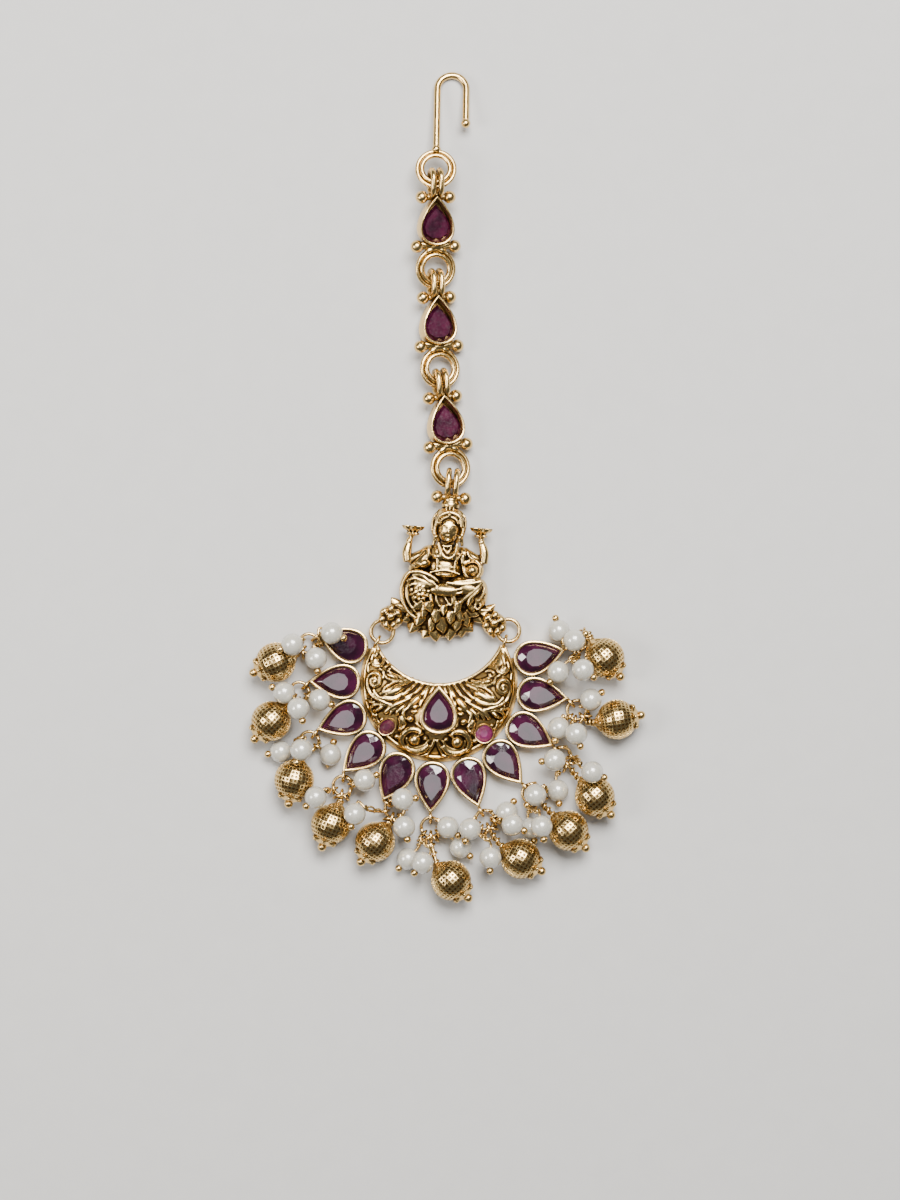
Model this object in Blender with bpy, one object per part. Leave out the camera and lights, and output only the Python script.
"""A maang tikka: a forehead jewel that lies face up, with its chain straight above it.

Metres, +Z up. The crescent's flat back lies at z = 0, +Y runs up the chain and +X to the right.
Every piece is a child of one empty, which puts the middle of the whole jewel at x = y = 0.
"""

import math

import bmesh
import bpy
from mathutils import Matrix, Vector

MM = 0.001

# Clearances
STONE_GAP = 0.10 * MM
STONE_PROUD = 0.25 * MM
GIRDLE_DEPTH = 0.3 * MM
STONE_WAIST = 0.72
STONE_TABLE = 0.62
WIRE_CLEARANCE = 0.26 * MM
REST_GAP = 0.15 * MM
SOLDER = 0.15 * MM

# The crescent: a disc with a round bay cut out of its upper side
CRESCENT_RADIUS = 9.5 * MM
BAY_RADIUS = 8.4 * MM
CRESCENT_EDGE = 1.1 * MM
CRESCENT_CROWN = 1.5 * MM
RIM_WIDTH = 0.55 * MM
RIM_HEIGHT = 0.3 * MM
HORN_SHARE = 0.94
RELIEF_TURN = math.radians(-4)

# The pear cups round the crescent, and the band beneath that carries them
PETAL_COUNT = 11
PETAL_LENGTH = 6.5 * MM
PETAL_WIDTH = 4.45 * MM
PETAL_HEIGHT = 2.1 * MM
PETAL_WALL = 0.42 * MM
PETAL_FLOOR = 0.7 * MM
PETAL_SEAT = 0.2 * MM
FAN_SPAN = math.radians(217.7)
FAN_MIDDLE = math.radians(266.15)
BAND_REACH = 2.6 * MM
BAND_THICKNESS = 0.6 * MM

# Cups on the crescent itself
CENTRE_LENGTH = 5.9 * MM
CENTRE_WIDTH = 4.5 * MM
CENTRE_DROP = 3.3 * MM
CENTRE_PROUD = 0.9 * MM
OVAL_LENGTH = 2.5 * MM
OVAL_WIDTH = 2.0 * MM
ROUND_DIAMETER = 2.5 * MM
SIDE_CUP_PROUD = 0.5 * MM
SIDE_CUP_WALL = 0.3 * MM
SIDE_CUP_TURN = math.radians(46)
SIDE_CUP_INSET = 1.1 * MM
CUP_DEPTH = 0.9 * MM

# Relief on the crescent
BOSS_RADIUS = 0.75 * MM
SCROLL_WIRE = 0.26 * MM

# Wires: every eye has the hole that its ring needs
JUMP_RING_RADIUS = 1.2 * MM
JUMP_RING_WIRE = 0.2 * MM
SIDE_RING_RADIUS = 1.4 * MM
SIDE_RING_WIRE = 0.25 * MM
EYE_WIRE = 0.2 * MM
RING_SIDES = 10
EYE_SIDES = 8
WIRE_SIDES = 5

# Gold beads and pearls
BEAD_RADIUS = 2.5 * MM
BEAD_COLLAR = 0.35 * MM
BEAD_COLLAR_RADIUS = 0.5 * MM
BEAD_CAP_RADIUS = 1.15 * MM
BEAD_CAP_HEIGHT = 0.55 * MM
BEAD_BALL_RADIUS = 0.55 * MM
PEARL_RADIUS = 1.375 * MM
PIN_WIRE = 0.17 * MM
ATTACH_SPREAD = math.radians(50)

# Chain
LINK_CUP_LENGTH = 6.2 * MM
LINK_CUP_WIDTH = 4.4 * MM
LINK_CUP_DEPTH = 2.4 * MM
LINK_CUP_WALL = 0.35 * MM
LINK_STONE_SINK = 0.9 * MM
LINK_RING_HOLE = 1.42 * MM
LINK_RING_BAND = 1.16 * MM
LINK_RING_THICKNESS = 0.6 * MM
LINK_BRIDGE = 0.3 * MM
BAIL_WIRE = 0.36 * MM
BAIL_LENGTH = 3.9 * MM
BAIL_HEIGHT = 3.1 * MM
BAIL_SPACING = 0.98 * MM
GRANULE_RADIUS = 0.8 * MM
TOP_GRANULE_SPREAD = 1.75 * MM
LOW_GRANULE_SPREAD = 2.4 * MM
BAR_RADIUS = 0.4 * MM
CHAIN_HEIGHT = 2.0 * MM
HOOK_SHANK = 8.0 * MM
HOOK_BEND = 1.8 * MM
HOOK_RETURN = 4.5 * MM
HOOK_WIRE = 0.45 * MM

# Seated figure
FIGURE_HALF_WIDTH = 5.45 * MM
FIGURE_RISE = 15.0 * MM
FIGURE_DEPTH = 4.4 * MM
FIGURE_TURN = math.radians(-4.5)
FIGURE_SHIFT = 0.25 * MM
SIDE_RING_SPAN = 3.7 * MM
FIGURE_BACK = 0.05 * MM

# Where the beads lie: swing from the cup's own direction, reach as a share of a straight drop,
# and how far the bead's axis is turned from the way to it, in degrees
BEADS = (
    # swing, reach, turn
    (56, 0.99, -8),
    (47, 1.04, 1),
    (44, 1.05, 12),
    (34, 1.03, -8),
    (15, 0.80, -25),
    (21, 1.34, 27),
    (21, 1.26, 20),
    (5, 1.26, 0),
    (-22, 1.25, 2),
    (-16, 1.01, 33),
    (-26, 0.78, -39),
)

# Where the pearls lie round each cup's tip: cup number, swing in degrees, reach in pearl radii
PEARLS = (
    # cup, swing, reach
    (1, -155, 1.15),
    (1, 105, 2.25),
    (1, 45, 2.55),
    (2, 25, 2.45),
    (2, 70, 2.55),
    (2, 120, 1.90),
    (3, 10, 3.95),
    (3, 30, 2.30),
    (3, 95, 2.55),
    (4, 0, 3.35),
    (4, 115, 2.05),
    (5, -40, 2.75),
    (5, 65, 3.05),
    (5, 120, 1.80),
    (6, -22, 4.70),
    (6, -5, 4.50),
    (6, 55, 2.05),
    (6, 45, 4.20),
    (7, -40, 2.10),
    (7, -5, 4.65),
    (7, 60, 2.60),
    (7, 45, 3.40),
    (8, 10, 1.60),
    (8, -15, 4.20),
    (9, -55, 1.30),
    (9, -5, 4.20),
    (10, 5, 2.10),
    (10, -100, 2.75),
    (10, -70, 3.20),
    (11, 90, 1.80),
    (11, 30, 1.25),
    (11, -120, 2.05),
)

# The chain from the figure upward, in degrees: turn in its own plane, roll about its length,
# pitch of its upper end, and how far up the bail of the piece below its ring strand lies
CHAIN = (
    # turn, roll, pitch, slack
    (6.5, 15, 0, 0.46),
    (3.0, 17, 0, 0.40),
    (0.0, 13, 8, 0.38),
)
HOOK_SLACK = 0.40
HOOK_TURN = math.radians(-1)

# Relief of the figure as domes: place and half sizes as shares of the half width and the rise,
# top as a share of the depth
FIGURE_DOMES = (
    # x, y, half width, half height, top
    (0.00, 0.20, 1.00, 0.33, 0.60),
    (-0.48, 0.37, 0.42, 0.085, 0.86),
    (0.48, 0.37, 0.42, 0.085, 0.86),
    (-0.80, 0.33, 0.20, 0.100, 0.76),
    (0.80, 0.33, 0.20, 0.100, 0.76),
    (0.05, 0.31, 0.60, 0.060, 0.88),
    (0.00, 0.46, 0.36, 0.070, 0.76),
    (0.00, 0.56, 0.42, 0.120, 0.86),
    (0.00, 0.65, 0.56, 0.075, 0.78),
    (0.00, 0.86, 0.39, 0.160, 0.74),
    (0.00, 0.84, 0.29, 0.130, 0.97),
    (-0.53, 0.30, 0.20, 0.070, 0.90),
    (0.59, 0.48, 0.14, 0.050, 0.84),
    (0.02, 0.30, 0.12, 0.065, 0.96),
    (-0.58, -0.03, 0.20, 0.060, 0.46),
    (-0.23, -0.07, 0.18, 0.065, 0.50),
    (0.22, -0.06, 0.18, 0.065, 0.50),
    (0.55, 0.00, 0.20, 0.070, 0.46),
    (-0.98, 0.14, 0.20, 0.080, 0.56),
    (0.98, 0.14, 0.20, 0.080, 0.56),
)
ORNAMENT = (1.19, 0.055, 0.27, 0.098, 0.66)
ORNAMENT_SOLDER = (1.172, 0.057)
ORNAMENT_LEDGE = 0.5 * MM
UPPER_ARM = ((0.34, 0.62), (0.86, 0.55), (0.79, 0.70), (0.78, 0.76))
LOWER_ARM = ((0.34, 0.61), (0.60, 0.53), (0.48, 0.44))
ARM_RADIUS = 0.60 * MM
ARM_HEIGHT = 2.3 * MM
CUP_STEM = 0.735
FLOWER_CUP_RADIUS = 1.32 * MM
CUP_PROFILE = (
    # rise above the stem and radius, as shares of the flower cup's radius
    (0.00, 0.30),
    (0.27, 0.61),
    (0.45, 0.38),
    (0.64, 0.76),
    (1.02, 1.00),
)

GOLD = (0.62, 0.40, 0.13)
BEAD_GOLD = (0.70, 0.48, 0.17)
RUBY = (0.16, 0.015, 0.05)
PINK = (0.55, 0.02, 0.16)
PEARL = (0.86, 0.82, 0.74)


def clear_scene():
    for existing in list(bpy.data.objects):
        bpy.data.objects.remove(existing, do_unlink=True)


def finish(name, colour, roughness, metallic):
    material = bpy.data.materials.new(name)
    material.use_nodes = True
    shader = material.node_tree.nodes["Principled BSDF"]
    shader.inputs["Base Color"].default_value = (*colour, 1)
    shader.inputs["Roughness"].default_value = roughness
    shader.inputs["Metallic"].default_value = metallic
    return material


def polar(angle, distance, height=0.0):
    return Vector((distance * math.cos(angle), distance * math.sin(angle), height))


def add_sweep(bm, points, radii, sides=WIRE_SIDES, closed=False):
    """A round wire along the points, with one radius or one for each point."""
    count = len(points)
    if not isinstance(radii, (list, tuple)):
        radii = [radii] * count
    normal = None
    loops = []
    for i, point in enumerate(points):
        before = points[i - 1] if closed or i else point
        after = points[(i + 1) % count] if closed or i < count - 1 else point
        along = (after - before).normalized()
        normal = along.orthogonal() if normal is None else normal
        normal = (normal - along * normal.dot(along)).normalized()
        across = along.cross(normal)
        loop = []
        for k in range(sides):
            angle = 2 * math.pi * k / sides
            spoke = normal * math.cos(angle) + across * math.sin(angle)
            loop.append(bm.verts.new(point + spoke * radii[i]))
        loops.append(loop)
    for i in range(count if closed else count - 1):
        first, second = loops[i], loops[(i + 1) % count]
        for k in range(sides):
            m = (k + 1) % sides
            bm.faces.new((first[k], first[m], second[m], second[k]))
    if not closed:
        bm.faces.new(loops[0][::-1])
        bm.faces.new(loops[-1])


def add_turned(bm, profile, steps, place=None):
    """A solid turned about Z from (radius, height) pairs. Radius 0 closes an end at its pole."""
    place = place or Matrix()
    loops = []
    for radius, height in profile:
        if radius == 0:
            loops.append([bm.verts.new(place @ Vector((0, 0, height)))])
            continue
        turns = [2 * math.pi * k / steps for k in range(steps)]
        loops.append([bm.verts.new(place @ polar(turn, radius, height)) for turn in turns])
    for first, second in zip(loops, loops[1:]):
        for k in range(steps):
            m = (k + 1) % steps
            corners = [first[k % len(first)], first[m % len(first)]]
            corners += [second[m % len(second)], second[k % len(second)]]
            bm.faces.new(list(dict.fromkeys(corners)))
    for loop in (loops[0], loops[-1]):
        if len(loop) > 1:
            bm.faces.new(loop)


def add_ball(bm, centre, radius, steps=8, levels=3):
    profile = []
    for k in range(levels + 1):
        angle = math.pi * k / levels
        edge = 0 if k in (0, levels) else radius * math.sin(angle)
        profile.append((edge, radius * math.cos(angle)))
    add_turned(bm, profile, steps, Matrix.Translation(centre))


def add_dome(bm, x, y, half_width, half_height, top, back, steps=8, levels=2):
    """A dome on a flat back: a short upright side with the upper half of an egg on it."""
    angles = [0.5 * math.pi * k / (levels + 0.35) for k in range(levels + 1)]
    profile = [(1.0, 0.0)]
    profile += [(math.cos(angle), 0.2 + 0.8 * math.sin(angle)) for angle in angles]
    shape = Matrix.Diagonal((half_width, half_height, top - back, 1))
    add_turned(bm, profile, steps, Matrix.Translation((x, y, back)) @ shape)


def add_prism(bm, outline, low, high):
    bottom = [bm.verts.new((x, y, low)) for x, y in outline]
    face = bm.faces.new(bottom)
    moved = bmesh.ops.extrude_face_region(bm, geom=[face])["geom"]
    lifted = [item for item in moved if isinstance(item, bmesh.types.BMVert)]
    bmesh.ops.translate(bm, verts=lifted, vec=(0, 0, high - low))


def add_ring(bm, place, radius, wire, steps=RING_SIDES, sides=WIRE_SIDES):
    """A closed round ring in the place's own XY plane."""
    points = [place @ polar(2 * math.pi * k / steps, radius) for k in range(steps)]
    add_sweep(bm, points, wire, sides, closed=True)


def upright(centre, direction):
    """The place of a ring that stands on its edge, its plane through Z and the direction."""
    turn = Matrix.Rotation(direction, 4, "Z") @ Matrix.Rotation(math.pi / 2, 4, "X")
    return Matrix.Translation(centre) @ turn


def pear_outline(length, width, steps=12):
    """A pear round the origin whose tip points along +Y."""
    widest = max(abs(math.sin(t / 100) * math.sin(t / 200)) for t in range(1, 314))
    outline = []
    first = math.radians(50)
    turns = [first + (2 * math.pi - 2 * first) * k / (steps - 2) for k in range(steps - 1)]
    for t in [0.0] + turns:
        side = math.sin(t) * math.sin(t / 2) / widest
        outline.append((-side * width / 2, math.cos(t) * length / 2))
    return outline


def oval_outline(length, width, steps=12):
    turns = [2 * math.pi * (k + 0.5) / steps for k in range(steps)]
    return [(width / 2 * math.cos(t), length / 2 * math.sin(t)) for t in turns]


def inset(outline, distance):
    """The convex outline moved inwards by a distance, corner by corner."""
    moved = []
    for i, corner in enumerate(outline):
        here = Vector(corner)
        back = (here - Vector(outline[i - 1])).normalized()
        ahead = (Vector(outline[(i + 1) % len(outline)]) - here).normalized()
        inward = (Vector((-back.y, back.x)) + Vector((-ahead.y, ahead.x))) / 2
        moved.append(tuple(here + inward * distance / inward.length_squared))
    return moved


def placed(outline, place):
    return [(place @ Vector((x, y, 0))).to_2d() for x, y in outline]


def add_stone(bm, girdle, low, middle, high):
    """A cut stone with a culet, a waist, a girdle and a table, and a facet on each side."""
    edge = [bm.verts.new((x, y, middle)) for x, y in girdle]
    belly = low + 0.3 * (middle - low)
    waist = [bm.verts.new((x * STONE_WAIST, y * STONE_WAIST, belly)) for x, y in girdle[::2]]
    table = [bm.verts.new((x * STONE_TABLE, y * STONE_TABLE, high)) for x, y in girdle[::2]]
    culet = bm.verts.new((0, 0, low))
    count = len(waist)
    for k in range(count):
        m = (k + 1) % count
        left, between, right = edge[2 * k], edge[2 * k + 1], edge[2 * m]
        for level in (waist, table):
            bm.faces.new((left, between, level[k]))
            bm.faces.new((between, right, level[m]))
            bm.faces.new((between, level[m], level[k]))
        bm.faces.new((waist[k], waist[m], culet))
    bm.faces.new(table)


def to_object(name, bm, material, parent, place=None):
    bmesh.ops.recalc_face_normals(bm, faces=bm.faces)
    mesh = bpy.data.meshes.new(name)
    bm.to_mesh(mesh)
    bm.free()
    mesh.shade_smooth()
    mesh.set_sharp_from_angle(angle=math.radians(40))
    shape = bpy.data.objects.new(name, mesh)
    mesh.materials.append(material)
    bpy.context.scene.collection.objects.link(shape)
    shape.parent = parent
    shape.matrix_basis = place or Matrix()
    return shape


def helper(name, bm, material, parent, place=None):
    shape = to_object(name, bm, material, parent, place)
    shape.hide_render = True
    shape.display_type = "WIRE"
    return shape


def join(shape, other, operation="UNION"):
    modifier = shape.modifiers.new(other.name, "BOOLEAN")
    modifier.operation = operation
    modifier.object = other
    modifier.use_self = operation == "UNION"


clear_scene()
antique_gold = finish("antique_gold", GOLD, 0.35, 1.0)
bead_gold = finish("bead_gold", BEAD_GOLD, 0.32, 1.0)
ruby = finish("ruby_stone", RUBY, 0.08, 0.0)
pink = finish("pink_stone", PINK, 0.08, 0.0)
pearl_coat = finish("pearl", PEARL, 0.25, 0.0)
root = bpy.data.objects.new("maang_tikka", None)
bpy.context.scene.collection.objects.link(root)


# The crescent

HORN_RISE = CRESCENT_RADIUS**2 / (2 * BAY_RADIUS)
HORN_REACH = math.sqrt(CRESCENT_RADIUS**2 - HORN_RISE**2)
OUTER_HALF_ARC = math.pi - math.atan2(HORN_REACH, HORN_RISE)
BAY_HALF_ARC = math.atan2(HORN_REACH, BAY_RADIUS - HORN_RISE)


def crescent_edges(share):
    """The outer and the bay edge of the crescent at a share of the way to its horn, -1 to 1."""
    outer = polar(share * OUTER_HALF_ARC - math.pi / 2, CRESCENT_RADIUS)
    bay = polar(share * BAY_HALF_ARC - math.pi / 2, BAY_RADIUS) + Vector((0, BAY_RADIUS, 0))
    return outer, bay


def crescent_crown(across, width):
    """The height of the domed face at a share of the way across a section of this width."""
    fullness = min(1.0, width / (0.5 * CRESCENT_RADIUS))
    return CRESCENT_EDGE + CRESCENT_CROWN * fullness * math.sin(math.pi * across) ** 0.8


def crescent_section(share):
    outer, bay = crescent_edges(share)
    width = (outer - bay).length
    rim = min(RIM_WIDTH / width, 0.3)
    rows = [(0, 0), (0, CRESCENT_EDGE), (rim * 0.5, CRESCENT_EDGE + RIM_HEIGHT)]
    rows += [(a, crescent_crown(a, width)) for a in (rim, 0.33, 0.67, 1 - rim)]
    rows += [(1 - rim * 0.5, CRESCENT_EDGE + RIM_HEIGHT), (1, CRESCENT_EDGE), (1, 0)]
    return [bay.lerp(outer, across) + Vector((0, 0, height)) for across, height in rows]


def crescent_height(spot):
    """The height of the domed face over a point, or of its edge where the point is off it."""
    from_bay = (Vector((0, BAY_RADIUS)) - spot.to_2d()).length - BAY_RADIUS
    from_edge = CRESCENT_RADIUS - spot.to_2d().length
    width = max(from_bay + from_edge, MM)
    return crescent_crown(min(max(from_bay / width, 0.0), 1.0), width)


def add_crescent_body(bm, sections=21):
    loops = []
    for k in range(sections):
        share = HORN_SHARE * (2 * k / (sections - 1) - 1)
        loops.append([bm.verts.new(corner) for corner in crescent_section(share)])
    for first, second in zip(loops, loops[1:]):
        for k in range(len(first)):
            m = (k + 1) % len(first)
            bm.faces.new((first[k], first[m], second[m], second[k]))
    bm.faces.new(loops[0])
    bm.faces.new(loops[-1][::-1])


def petal_direction(number):
    """The direction of a cup from the crescent's middle. Cup 1 is at the upper left."""
    share = (number - 1) / (PETAL_COUNT - 1)
    return FAN_MIDDLE + (share - 0.5) * FAN_SPAN


PETAL_DISTANCE = CRESCENT_RADIUS + PETAL_LENGTH / 2 + 0.25 * MM
EYE_HOLE = JUMP_RING_WIRE + WIRE_CLEARANCE
EYE_RADIUS = EYE_HOLE + EYE_WIRE
SIDE_EYE_RADIUS = SIDE_RING_WIRE + WIRE_CLEARANCE + EYE_WIRE
RING_HEIGHT = EYE_RADIUS + EYE_WIRE + 0.35 * MM
SIDE_RING_HEIGHT = SIDE_EYE_RADIUS + EYE_WIRE + 0.3 * MM


def petal_place(number):
    direction = petal_direction(number)
    turn = Matrix.Rotation(direction - math.pi / 2, 4, "Z")
    return Matrix.Translation(polar(direction, PETAL_DISTANCE)) @ turn


def petal_tip(number):
    """The point in a cup's tip that its eye is soldered to."""
    return polar(petal_direction(number), PETAL_DISTANCE + PETAL_LENGTH / 2 - SOLDER, RING_HEIGHT)


def flat_place(x, y, turn=0.0, height=0.0):
    return Matrix.Translation((x, y, height)) @ Matrix.Rotation(turn, 4, "Z")


# The two small cups on the crescent
SIDE_CUPS = (
    # name, length, width, side
    ("left", OVAL_LENGTH, OVAL_WIDTH, -1),
    ("right", ROUND_DIAMETER, ROUND_DIAMETER, 1),
)


def side_cup_place(side):
    direction = -math.pi / 2 + side * SIDE_CUP_TURN + RELIEF_TURN
    spot = polar(direction, CRESCENT_RADIUS - SIDE_CUP_INSET)
    return flat_place(spot.x, spot.y, direction + math.pi / 2)


centre_place = flat_place(0, -CENTRE_DROP)
centre_outline = pear_outline(CENTRE_LENGTH, CENTRE_WIDTH)
centre_top = CRESCENT_EDGE + CRESCENT_CROWN + CENTRE_PROUD


def side_cup_top(side):
    return crescent_height(side_cup_place(side).translation) + SIDE_CUP_PROUD


petal_outline = pear_outline(PETAL_LENGTH, PETAL_WIDTH)

# The two bosses, and the spirals of the relief: places and radii as shares of the crescent's radius
BOSSES = ((-0.33, -0.72), (0.27, -0.75))
SCROLLS = (
    # x, y, radius, turns, first direction in degrees, hand
    (-0.83, 0.06, 0.150, 1.1, 20, 1),
    (0.85, -0.02, 0.150, 1.1, 160, -1),
    (-0.77, 0.30, 0.085, 0.9, -60, 1),
    (0.82, 0.22, 0.085, 0.9, 240, -1),
    (*BOSSES[0], 0.180, 0.8, 60, 1),
    (*BOSSES[1], 0.180, 0.8, 120, -1),
)


def add_scroll(bm, x, y, radius, turns, first, hand, steps=7):
    points = []
    for k in range(steps):
        share = k / (steps - 1)
        angle = math.radians(first) + hand * 2 * math.pi * turns * share
        middle = Vector((x, y, 0)) * CRESCENT_RADIUS
        spot = middle + polar(angle, radius * CRESCENT_RADIUS * (1 - 0.55 * share))
        points.append(spot + Vector((0, 0, crescent_height(spot))))
    add_sweep(bm, points, SCROLL_WIRE, sides=4)


def add_band(bm, steps=16):
    """The flat band under the cups' inner ends, which holds them to the crescent and to each other."""
    half = FAN_SPAN / 2 + math.radians(4)
    turns = [FAN_MIDDLE + half * (2 * k / steps - 1) for k in range(steps + 1)]
    inner = [polar(turn, CRESCENT_RADIUS - 1.0 * MM).to_2d() for turn in turns]
    outer = [polar(turn, CRESCENT_RADIUS + BAND_REACH).to_2d() for turn in turns]
    add_prism(bm, outer + inner[::-1], PETAL_SEAT * 0.5, PETAL_SEAT * 0.5 + BAND_THICKNESS)


def horn_solder(side):
    """The point in a horn's end that its eye is soldered to."""
    outer, bay = crescent_edges(side * HORN_SHARE)
    return outer.lerp(bay, 0.5) + Vector((0, 0, SIDE_RING_HEIGHT))


def build_crescent(eyes):
    core = bmesh.new()
    add_crescent_body(core)
    crescent = to_object("crescent", core, antique_gold, root)
    more = bmesh.new()
    add_band(more)
    for number in range(1, PETAL_COUNT + 1):
        add_prism(more, placed(petal_outline, petal_place(number)), PETAL_SEAT, PETAL_HEIGHT)
    add_prism(more, placed(centre_outline, centre_place), CRESCENT_EDGE / 2, centre_top)
    for name, length, width, side in SIDE_CUPS:
        outline = placed(oval_outline(length, width), side_cup_place(side))
        add_prism(more, outline, CRESCENT_EDGE / 2, side_cup_top(side))
    for scroll in SCROLLS:
        add_scroll(more, *scroll)
    for x, y in BOSSES:
        spot = Vector((x, y, 0)) * CRESCENT_RADIUS
        add_ball(more, spot + Vector((0, 0, crescent_height(spot))), BOSS_RADIUS, 8, 4)
    for place, radius in eyes:
        add_ring(more, place, radius, EYE_WIRE, EYE_SIDES)
    join(crescent, helper("crescent_additions", more, antique_gold, root))
    pockets = bmesh.new()
    for number in range(1, PETAL_COUNT + 1):
        outline = placed(inset(petal_outline, PETAL_WALL), petal_place(number))
        add_prism(pockets, outline, PETAL_FLOOR, PETAL_HEIGHT + MM)
    outline = placed(inset(centre_outline, PETAL_WALL), centre_place)
    add_prism(pockets, outline, centre_top - CUP_DEPTH, centre_top + MM)
    for name, length, width, side in SIDE_CUPS:
        outline = placed(inset(oval_outline(length, width), SIDE_CUP_WALL), side_cup_place(side))
        add_prism(pockets, outline, side_cup_top(side) - CUP_DEPTH, side_cup_top(side) + MM)
    join(crescent, helper("crescent_pockets", pockets, antique_gold, root), "DIFFERENCE")
    return crescent


def build_stone(name, outline, wall, floor, rim, place, material):
    """A stone that fills its cup to the gap, its girdle just under the rim."""
    bm = bmesh.new()
    girdle = inset(outline, wall + STONE_GAP)
    add_stone(bm, girdle, floor + STONE_GAP, rim - GIRDLE_DEPTH, rim + STONE_PROUD)
    return to_object(name, bm, material, root, place)


def build_crescent_stones():
    for number in range(1, PETAL_COUNT + 1):
        name = f"petal_stone_{number:02d}"
        levels = (PETAL_FLOOR, PETAL_HEIGHT)
        build_stone(name, petal_outline, PETAL_WALL, *levels, petal_place(number), ruby)
    levels = (centre_top - CUP_DEPTH, centre_top)
    build_stone("crescent_stone_centre", centre_outline, PETAL_WALL, *levels, centre_place, ruby)
    for name, length, width, side in SIDE_CUPS:
        outline = oval_outline(length, width)
        levels = (side_cup_top(side) - CUP_DEPTH, side_cup_top(side))
        stone = pink if side > 0 else ruby
        build_stone(f"crescent_stone_{name}", outline, SIDE_CUP_WALL, *levels, side_cup_place(side), stone)


# Rings and drops


def ring_between(first, first_gap, second, second_gap, side):
    """The middle of a ring that lies these distances from two points, on one side of their line."""
    way = (second - first).to_2d()
    span = way.length
    way.normalize()
    least = abs(first_gap - second_gap) * 1.02
    span = min(max(span, least), first_gap + second_gap)
    along = (span**2 + first_gap**2 - second_gap**2) / (2 * span)
    aside = math.sqrt(max(first_gap**2 - along**2, 0.0))
    middle = first.to_2d() + way * along + Vector((-way.y, way.x)) * aside * side
    return Vector((middle.x, middle.y, first.z))


def heading(vector):
    return math.atan2(vector.y, vector.x)


BEAD_STEM = BEAD_RADIUS + BEAD_COLLAR + EYE_RADIUS
STRAIGHT_DROP = EYE_RADIUS + 2 * JUMP_RING_RADIUS + BEAD_STEM


def plan_drop(number):
    """Where the ring, the bead and the bead's eye of one cup lie."""
    swing, reach, turn = BEADS[number - 1]
    tip = petal_tip(number)
    way = petal_direction(number) + math.radians(swing)
    bead = tip + polar(way, reach * STRAIGHT_DROP)
    bead.z = BEAD_RADIUS
    axis = way + math.radians(turn)
    eye = bead - polar(axis, BEAD_STEM)
    eye.z = RING_HEIGHT
    near = EYE_RADIUS + JUMP_RING_RADIUS
    side = 1 if turn < 0 else -1
    ring = ring_between(tip, near, eye, JUMP_RING_RADIUS, side)
    bead_eye = ring + polar(heading(eye - ring), JUMP_RING_RADIUS)
    tip_eye = ring + polar(heading(tip - ring), JUMP_RING_RADIUS)
    return {"ring": ring, "bead": bead, "axis": axis, "bead_eye": bead_eye, "tip_eye": tip_eye}


def build_bead(number, plan):
    """A gold bead with its cap and end ball on one turned body, its neck and its eye."""
    core = bmesh.new()
    ball = BEAD_RADIUS + BEAD_CAP_HEIGHT + BEAD_BALL_RADIUS
    profile = [(0, -BEAD_RADIUS - BEAD_COLLAR), (BEAD_COLLAR_RADIUS, -BEAD_RADIUS - BEAD_COLLAR)]
    for degrees in (-60, -30, 0, 30, 52):
        latitude = math.radians(degrees)
        profile.append((BEAD_RADIUS * math.cos(latitude), BEAD_RADIUS * math.sin(latitude)))
    profile.append((BEAD_CAP_RADIUS, BEAD_RADIUS * 0.92))
    profile.append((BEAD_BALL_RADIUS * 0.6, BEAD_RADIUS + BEAD_CAP_HEIGHT * 0.6))
    profile += [(BEAD_BALL_RADIUS, ball - BEAD_BALL_RADIUS * 0.6), (0, ball)]
    way = Matrix.Rotation(plan["axis"], 4, "Z") @ Matrix.Rotation(math.pi / 2, 4, "Y")
    add_turned(core, profile, 10, way)
    name = f"bead_drop_{number:02d}"
    place = Matrix.Translation(plan["bead"])
    bead = to_object(name, core, bead_gold, root, place)
    more = bmesh.new()
    eye = plan["bead_eye"] - plan["bead"]
    outward = heading(plan["bead_eye"] - plan["ring"])
    neck_start = eye + polar(outward, EYE_RADIUS)
    neck_end = -polar(plan["axis"], BEAD_RADIUS)
    add_ring(more, upright(eye, outward), EYE_RADIUS, EYE_WIRE, EYE_SIDES)
    add_sweep(more, [neck_start, neck_end], EYE_WIRE * 1.1)
    join(bead, helper(f"{name}_neck", more, bead_gold, root, place))


def petal_bumps(number):
    """Balls along a cup's rim and under its stone's table, for resting things on."""
    place = petal_place(number)
    rim = inset(petal_outline, PETAL_WALL / 2)
    bumps = []
    for here, ahead in zip(rim, rim[1:] + rim[:1]):
        for share in (0.0, 0.33, 0.67):
            x, y = Vector(here).lerp(Vector(ahead), share)
            bumps.append((place @ Vector((x, y, PETAL_HEIGHT - PETAL_WALL / 2)), PETAL_WALL / 2 * 1.3))
    bump = PETAL_WIDTH * 0.225
    for share in (-0.23, -0.08, 0.08):
        spot = Vector((0, share * PETAL_LENGTH, PETAL_HEIGHT + STONE_PROUD - bump))
        bumps.append((place @ spot, bump))
    return bumps


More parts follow.
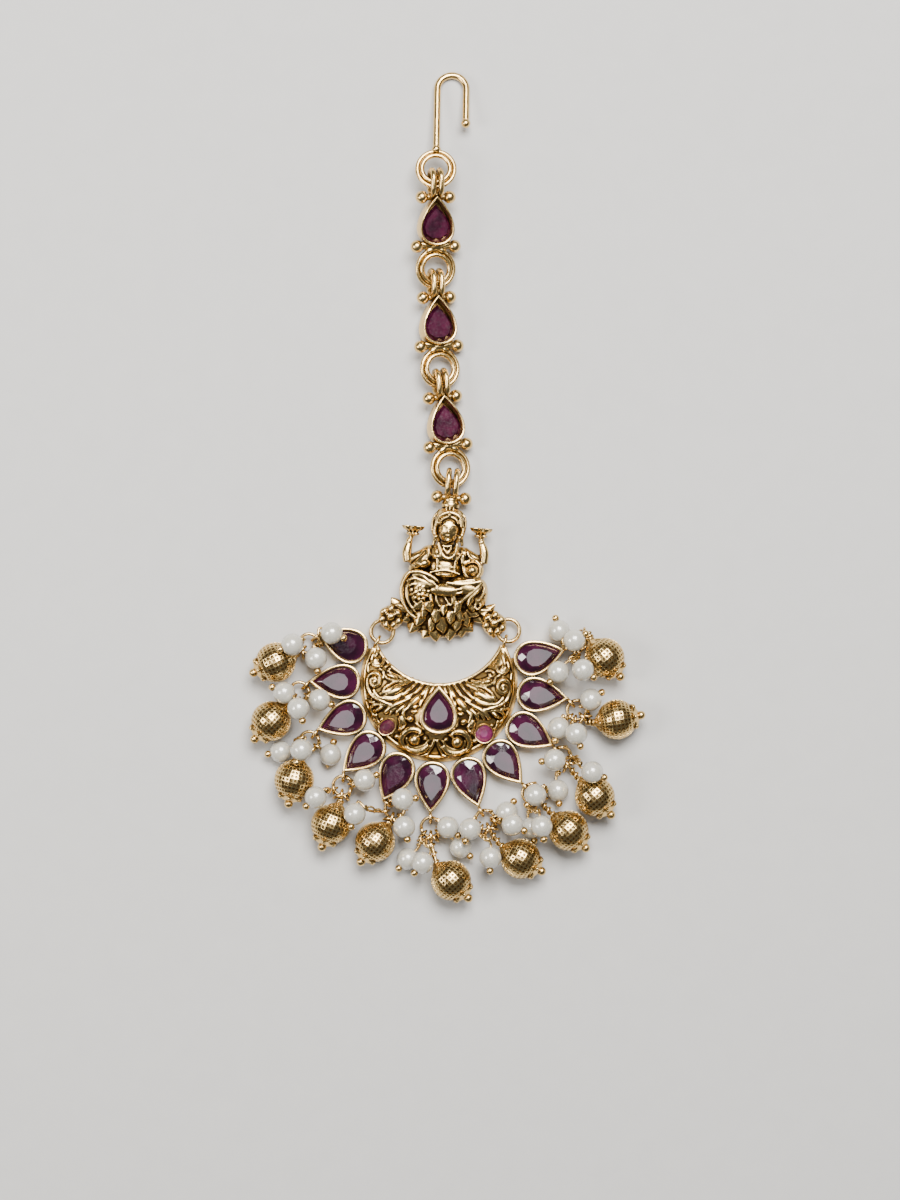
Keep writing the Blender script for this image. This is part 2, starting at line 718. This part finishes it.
def drop_bumps(plan):
    bumps = [(plan["bead"], BEAD_RADIUS)]
    bumps.append((plan["bead"] + polar(plan["axis"], BEAD_RADIUS + BEAD_CAP_HEIGHT), BEAD_CAP_RADIUS))
    bumps.append((plan["bead"] - polar(plan["axis"], BEAD_RADIUS - BEAD_COLLAR), BEAD_RADIUS * 0.4))
    bumps += [(plan[eye], EYE_RADIUS + EYE_WIRE) for eye in ("bead_eye", "tip_eye")]
    neck_start = plan["bead_eye"]
    neck_end = plan["bead"] - polar(plan["axis"], BEAD_RADIUS)
    bumps += [(neck_start.lerp(neck_end, k / 4), EYE_WIRE * 1.2) for k in range(1, 5)]
    for k in range(RING_SIDES):
        bumps.append((plan["ring"] + polar(2 * math.pi * k / RING_SIDES, JUMP_RING_RADIUS), JUMP_RING_WIRE))
    return bumps


def rest(spot, radius, bumps):
    """The spot, raised until a ball of this radius rests on what lies beneath it."""
    height = radius
    raised = True
    while raised:
        raised = False
        for centre, size in bumps:
            reach = size + radius + REST_GAP
            level = (spot - centre).to_2d().length
            if level < reach and (centre - Vector((spot.x, spot.y, height))).length < reach - 1e-7:
                height = centre.z + math.sqrt(reach**2 - level**2)
                raised = True
    return Vector((spot.x, spot.y, height))


def spread_from(angle, others):
    """The angle, turned just far enough from the others that two loops don't meet on a ring."""
    for other in others:
        apart = (angle - other + math.pi) % (2 * math.pi) - math.pi
        if abs(apart) < ATTACH_SPREAD:
            angle = other + math.copysign(ATTACH_SPREAD, apart or 1)
    return angle


def build_pearls(number, plan, bumps):
    """One jump ring with the pearls that hang on it, each on its pin."""
    core = bmesh.new()
    add_ring(core, Matrix.Translation(plan["ring"]), JUMP_RING_RADIUS, JUMP_RING_WIRE)
    cluster = to_object(f"pearl_drops_{number:02d}", core, pearl_coat, root)
    more = bmesh.new()
    taken = [heading(plan[eye] - plan["ring"]) for eye in ("bead_eye", "tip_eye")]
    for cup, swing, reach in PEARLS:
        if cup != number:
            continue
        way = petal_direction(number) + math.radians(swing)
        spot = petal_tip(number) + polar(way, reach * PEARL_RADIUS)
        pearl = rest(spot, PEARL_RADIUS, bumps)
        bumps.append((pearl, PEARL_RADIUS))
        add_ball(more, pearl, PEARL_RADIUS, 10, 4)
        at = spread_from(heading(pearl - plan["ring"]), taken)
        start = plan["ring"] + polar(at, JUMP_RING_RADIUS)
        pin = [start, pearl]
        if pearl.z - start.z > PEARL_RADIUS / 2:
            pin.insert(1, Vector((*start.lerp(pearl, 0.12).to_2d(), pearl.z - PEARL_RADIUS * 0.2)))
        add_sweep(more, pin, PIN_WIRE, sides=4)
    join(cluster, helper(f"pearl_drops_{number:02d}_pearls", more, pearl_coat, root))


# Chain


def add_bails(bm, foot, height=0.0):
    """Two upright oval loops side by side, whose lower ends are at the foot's y."""
    bend = BAIL_HEIGHT / 2 - BAIL_WIRE
    straight = BAIL_LENGTH - 2 * BAIL_WIRE - 2 * bend
    for side in (-1, 1):
        points = []
        for k in range(RING_SIDES):
            angle = 2 * math.pi * (k + 0.5) / RING_SIDES
            shift = straight / 2 * (1 if math.cos(angle) > 0 else -1)
            y = foot + BAIL_LENGTH / 2 + shift + bend * math.cos(angle)
            points.append(Vector((side * BAIL_SPACING / 2, y, height + bend * math.sin(angle))))
        add_sweep(bm, points, BAIL_WIRE, closed=True)


def add_ring_pair(bm, middle=0.0, steps=12):
    """A flat ring with a raised inner wire and a lower outer one, turned as one band."""
    half = LINK_RING_THICKNESS / 2
    shape = ((0, 0), (0.12, 1), (0.42, 1), (0.57, 0.4), (0.85, 0.7), (1, 0), (0.85, -0.8), (0.15, -0.8))
    loops = []
    for k in range(steps):
        turn = 2 * math.pi * k / steps
        loop = []
        for across, level in shape:
            spot = polar(turn, LINK_RING_HOLE + across * LINK_RING_BAND, level * half)
            loop.append(bm.verts.new(spot + Vector((0, middle, 0))))
        loops.append(loop)
    for k in range(steps):
        first, second = loops[k], loops[(k + 1) % steps]
        for i in range(len(shape)):
            j = (i + 1) % len(shape)
            bm.faces.new((first[i], first[j], second[j], second[i]))


LINK_RING_RADIUS = LINK_RING_HOLE + LINK_RING_BAND
LINK_RING_MIDDLE = -(LINK_CUP_LENGTH / 2 + LINK_BRIDGE + LINK_RING_RADIUS)
RING_STRAND = LINK_RING_HOLE + LINK_RING_BAND / 2
BAIL_FOOT = LINK_CUP_LENGTH / 2 - BAIL_WIRE * 1.3


def bail_point(foot, slack):
    """Where a ring strand lies in a bail: slack 0 is at the foot end of its hole, 1 at the far end."""
    low = foot + 2 * BAIL_WIRE + LINK_RING_BAND / 2
    high = foot + BAIL_LENGTH - 2 * BAIL_WIRE - LINK_RING_BAND / 2
    return low + slack * (high - low)


link_outline = pear_outline(LINK_CUP_LENGTH, LINK_CUP_WIDTH)


def add_granule_bar(bm, y, spread, height=0.0):
    bar = [Vector((-spread, y, height)), Vector((spread, y, height))]
    add_sweep(bm, bar, BAR_RADIUS)
    for end in bar:
        add_ball(bm, end, GRANULE_RADIUS, 8, 4)


def build_link(number, place):
    name = f"chain_link_{number}"
    core = bmesh.new()
    add_prism(core, link_outline, -LINK_CUP_DEPTH / 2, LINK_CUP_DEPTH / 2)
    link = to_object(name, core, antique_gold, root, place)
    more = bmesh.new()
    add_ring_pair(more, LINK_RING_MIDDLE)
    add_bails(more, BAIL_FOOT)
    add_granule_bar(more, LINK_CUP_LENGTH / 2 - BAR_RADIUS * 0.6, TOP_GRANULE_SPREAD)
    add_granule_bar(more, -LINK_CUP_LENGTH / 2 - BAR_RADIUS * 0.3, LOW_GRANULE_SPREAD)
    join(link, helper(f"{name}_fittings", more, antique_gold, root, place))
    pocket = bmesh.new()
    floor = LINK_CUP_DEPTH / 2 - LINK_STONE_SINK - CUP_DEPTH
    add_prism(pocket, inset(link_outline, LINK_CUP_WALL), floor, LINK_CUP_DEPTH / 2 + MM)
    join(link, helper(f"{name}_pocket", pocket, antique_gold, root, place), "DIFFERENCE")
    rim = LINK_CUP_DEPTH / 2 - LINK_STONE_SINK
    build_stone(f"link_stone_{number}", link_outline, LINK_CUP_WALL, floor, rim, place, ruby)


def chain_place(anchor, strand, turn, roll=0.0, pitch=0.0):
    """The place of a chain piece whose ring strand, at this y in it, lies at the anchor."""
    way = Matrix.Rotation(turn, 4, "Z") @ Matrix.Rotation(pitch, 4, "X") @ Matrix.Rotation(roll, 4, "Y")
    return Matrix.Translation(anchor - way @ Vector((0, strand, 0))) @ way


def build_hook(anchor):
    """The last ring pair, with one plain hook whose far end comes down to the surface."""
    reach = RING_STRAND + LINK_RING_RADIUS + HOOK_SHANK + HOOK_BEND
    pitch = -math.asin((anchor.z - HOOK_WIRE) / reach)
    place = chain_place(anchor, -RING_STRAND, HOOK_TURN, 0.0, pitch)
    core = bmesh.new()
    add_ring_pair(core)
    hook = to_object("hair_hook", core, antique_gold, root, place)
    more = bmesh.new()
    top = LINK_RING_RADIUS + HOOK_SHANK
    points = [Vector((0, LINK_RING_RADIUS - LINK_RING_BAND * 0.4, 0)), Vector((0, top, 0))]
    for k in range(1, 8):
        points.append(Vector((HOOK_BEND, top, 0)) + polar(math.pi - math.pi * k / 8, HOOK_BEND))
    points += [Vector((2 * HOOK_BEND, top, 0)), Vector((2 * HOOK_BEND, top - HOOK_RETURN, 0))]
    add_sweep(more, points, HOOK_WIRE, sides=8)
    add_ball(more, points[-1], HOOK_WIRE * 1.3, 8, 4)
    join(hook, helper("hair_hook_wire", more, antique_gold, root, place))


# Seated figure

def figure_spot(x, y):
    return x * FIGURE_HALF_WIDTH, y * FIGURE_RISE


def figure_height():
    """How high the figure stands: each side ring spans the same way from a horn to an ornament."""
    horn = horn_solder(1)
    x, y = figure_spot(*ORNAMENT_SOLDER)
    return horn.y + math.sqrt(SIDE_RING_SPAN**2 - (horn.x - x) ** 2) - y


FIGURE_PLACE = flat_place(FIGURE_SHIFT, figure_height(), FIGURE_TURN)
FIGURE_BAIL_FOOT = FIGURE_RISE * 1.065


def ornament_solder(side):
    x, y = figure_spot(side * ORNAMENT_SOLDER[0], ORNAMENT_SOLDER[1])
    spot = FIGURE_PLACE @ Vector((x, y, 0))
    spot.z = SIDE_RING_HEIGHT
    return spot


def add_figure_dome(bm, x, y, half_width, half_height, top, back=FIGURE_BACK):
    x, y = figure_spot(x, y)
    half_width, half_height = figure_spot(half_width, half_height)
    add_dome(bm, x, y, half_width, half_height, top * FIGURE_DEPTH, back)


def add_arm(bm, joints, side):
    points = []
    for x, y in joints:
        x, y = figure_spot(side * x, y)
        points.append(Vector((x, y, ARM_HEIGHT)))
    add_sweep(bm, points, ARM_RADIUS, sides=6)


def add_flower_cup(bm, side):
    x, y = figure_spot(side * UPPER_ARM[-1][0], CUP_STEM)
    points = [Vector((x, y + rise * FLOWER_CUP_RADIUS, ARM_HEIGHT)) for rise, radius in CUP_PROFILE]
    add_sweep(bm, points, [radius * FLOWER_CUP_RADIUS for rise, radius in CUP_PROFILE], sides=8)


def build_figure(eyes):
    core = bmesh.new()
    add_figure_dome(core, *FIGURE_DOMES[0])
    figure = to_object("seated_figure", core, antique_gold, root, FIGURE_PLACE)
    more = bmesh.new()
    for dome in FIGURE_DOMES[1:]:
        add_figure_dome(more, *dome)
    back = FIGURE_PLACE.inverted()
    for side in (-1, 1):
        add_figure_dome(more, side * ORNAMENT[0], *ORNAMENT[1:], SIDE_RING_HEIGHT + ORNAMENT_LEDGE)
        add_arm(more, UPPER_ARM, side)
        add_arm(more, LOWER_ARM, side)
        add_flower_cup(more, side)
    for place, radius in eyes:
        add_ring(more, back @ place, radius, EYE_WIRE, EYE_SIDES)
    add_bails(more, FIGURE_BAIL_FOOT, CHAIN_HEIGHT)
    add_granule_bar(more, FIGURE_BAIL_FOOT + BAR_RADIUS * 0.4, TOP_GRANULE_SPREAD, CHAIN_HEIGHT)
    neck = [Vector((0, FIGURE_RISE * 0.95, CHAIN_HEIGHT)), Vector((0, FIGURE_BAIL_FOOT, CHAIN_HEIGHT))]
    add_sweep(more, neck, BAR_RADIUS * 1.6, sides=6)
    join(figure, helper("seated_figure_relief", more, antique_gold, root, FIGURE_PLACE))


def build_side_rings():
    """The two rings between the crescent's horns and the figure, and the eyes that they pass."""
    horn_eyes, figure_eyes = [], []
    for name, side in (("left", -1), ("right", 1)):
        horn = horn_solder(side)
        ornament = ornament_solder(side)
        gap = SIDE_EYE_RADIUS + SIDE_RING_RADIUS
        middle = ring_between(horn, gap, ornament, gap, -side)
        bm = bmesh.new()
        add_ring(bm, Matrix(), SIDE_RING_RADIUS, SIDE_RING_WIRE)
        to_object(f"tip_ring_{name}", bm, antique_gold, root, Matrix.Translation(middle))
        for solder, eyes in ((horn, horn_eyes), (ornament, figure_eyes)):
            way = heading(solder - middle)
            eyes.append((upright(middle + polar(way, SIDE_RING_RADIUS), way), SIDE_EYE_RADIUS))
    return horn_eyes, figure_eyes


def build_chain():
    foot, below = FIGURE_BAIL_FOOT, FIGURE_PLACE @ Matrix.Translation((0, 0, CHAIN_HEIGHT))
    for number, (turn, roll, pitch, slack) in zip((3, 2, 1), CHAIN):
        anchor = below @ Vector((0, bail_point(foot, slack), 0))
        angles = [math.radians(angle) for angle in (turn, roll, pitch)]
        place = chain_place(anchor, LINK_RING_MIDDLE - RING_STRAND, *angles)
        build_link(number, place)
        foot, below = BAIL_FOOT, place
    build_hook(below @ Vector((0, bail_point(foot, HOOK_SLACK), 0)))


def centre_on_origin():
    """Puts the middle of the whole jewel's box at x = y = 0."""
    bpy.context.view_layer.update()
    graph = bpy.context.evaluated_depsgraph_get()
    corners = []
    for shape in bpy.context.scene.objects:
        if shape.type == "MESH" and not shape.hide_render:
            seen = shape.evaluated_get(graph)
            corners += [seen.matrix_world @ Vector(corner) for corner in seen.bound_box]
    middle = [(min(c[i] for c in corners) + max(c[i] for c in corners)) / 2 for i in (0, 1)]
    root.location = (-middle[0], -middle[1], 0)


horn_eyes, figure_eyes = build_side_rings()
plans = {number: plan_drop(number) for number in range(1, PETAL_COUNT + 1)}
tip_eyes = []
for plan in plans.values():
    way = heading(plan["tip_eye"] - plan["ring"])
    tip_eyes.append((upright(plan["tip_eye"], way), EYE_RADIUS))
build_crescent(horn_eyes + tip_eyes)
build_crescent_stones()
build_figure(figure_eyes)
build_chain()
bumps = []
for number, plan in plans.items():
    bumps += petal_bumps(number) + drop_bumps(plan)
for number, plan in plans.items():
    build_bead(number, plan)
    build_pearls(number, plan, bumps)
centre_on_origin()
